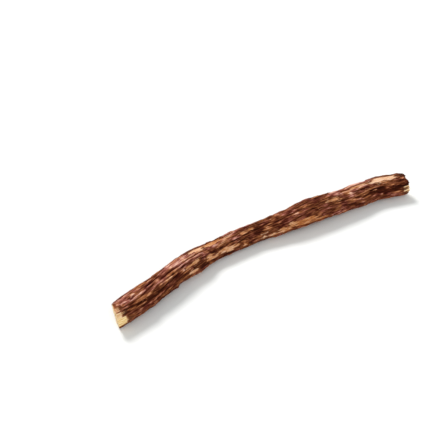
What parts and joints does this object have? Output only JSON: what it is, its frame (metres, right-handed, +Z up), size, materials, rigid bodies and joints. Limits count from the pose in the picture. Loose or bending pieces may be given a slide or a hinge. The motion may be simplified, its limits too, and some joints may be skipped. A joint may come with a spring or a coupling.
{
  "type": "miswak stick",
  "caption": "Cut length of a woody chewing-stick root with ridged bark, worn strips of bare wood and plain cut ends, lying on its side.",
  "frame": {"origin": "centre of the stick's box in X and Y, at the surface it lies on", "axes": "+X along the stick from the near cut to the far one, +Z up"},
  "size_m": [0.152, 0.0205, 0.0109],
  "materials": {
    "bark": "rough, dry, ridged bark with patches of bare wood"
  },
  "bodies": {
    "root": {"stick": "bark"}
  },
  "joints": []
}
